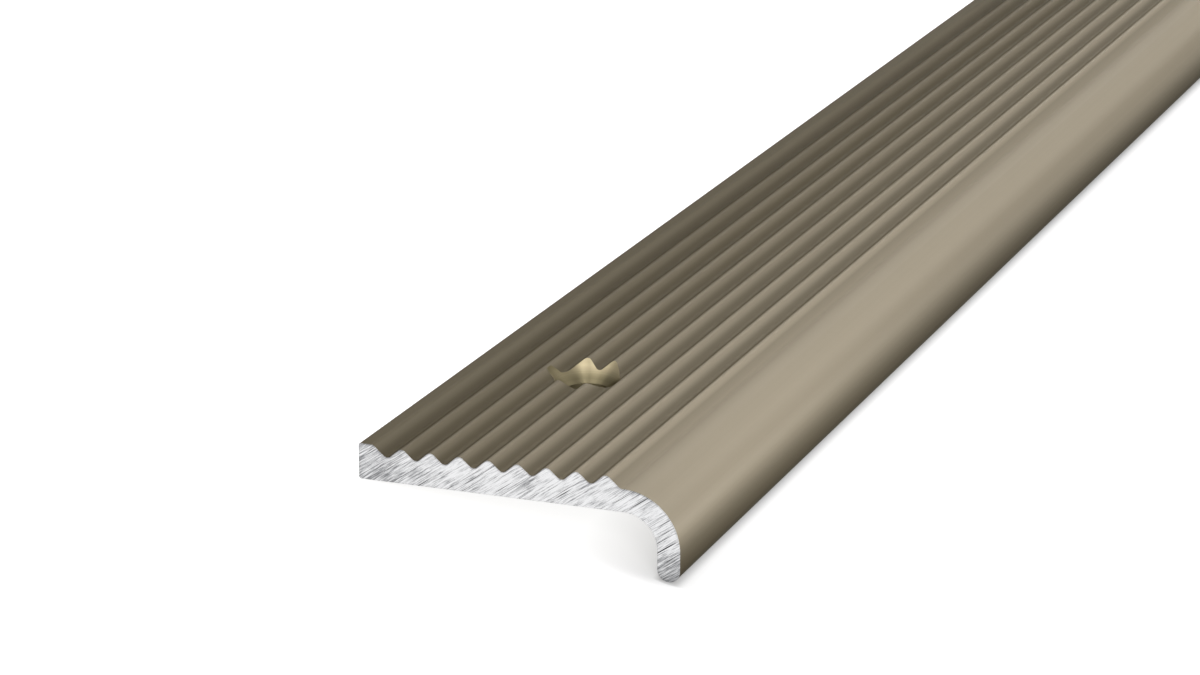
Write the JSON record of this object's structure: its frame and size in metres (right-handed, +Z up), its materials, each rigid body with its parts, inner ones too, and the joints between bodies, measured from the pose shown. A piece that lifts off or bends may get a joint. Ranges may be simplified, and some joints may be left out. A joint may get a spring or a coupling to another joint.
{
  "type": "aluminium stair nosing",
  "caption": "Ribbed angle profile in anodised aluminium that covers the front edge of a step, with a rounded nose, a short leg and countersunk screw holes.",
  "frame": {"origin": "on the floor under the middle of the piece's box, as it lies unheld on its back edge and the tip of its leg", "axes": "+Y along the profile, +X towards the nose, +Z up from the floor; the plate slopes up towards the nose by 11.47 degrees"},
  "size_m": [0.034, 1, 0.0084],
  "materials": {
    "anodised_aluminium": "satin anodised in a brownish bronze, with both ends sawn to bare metal"
  },
  "bodies": {
    "root": {"nosing_profile": "anodised_aluminium"}
  },
  "joints": []
}
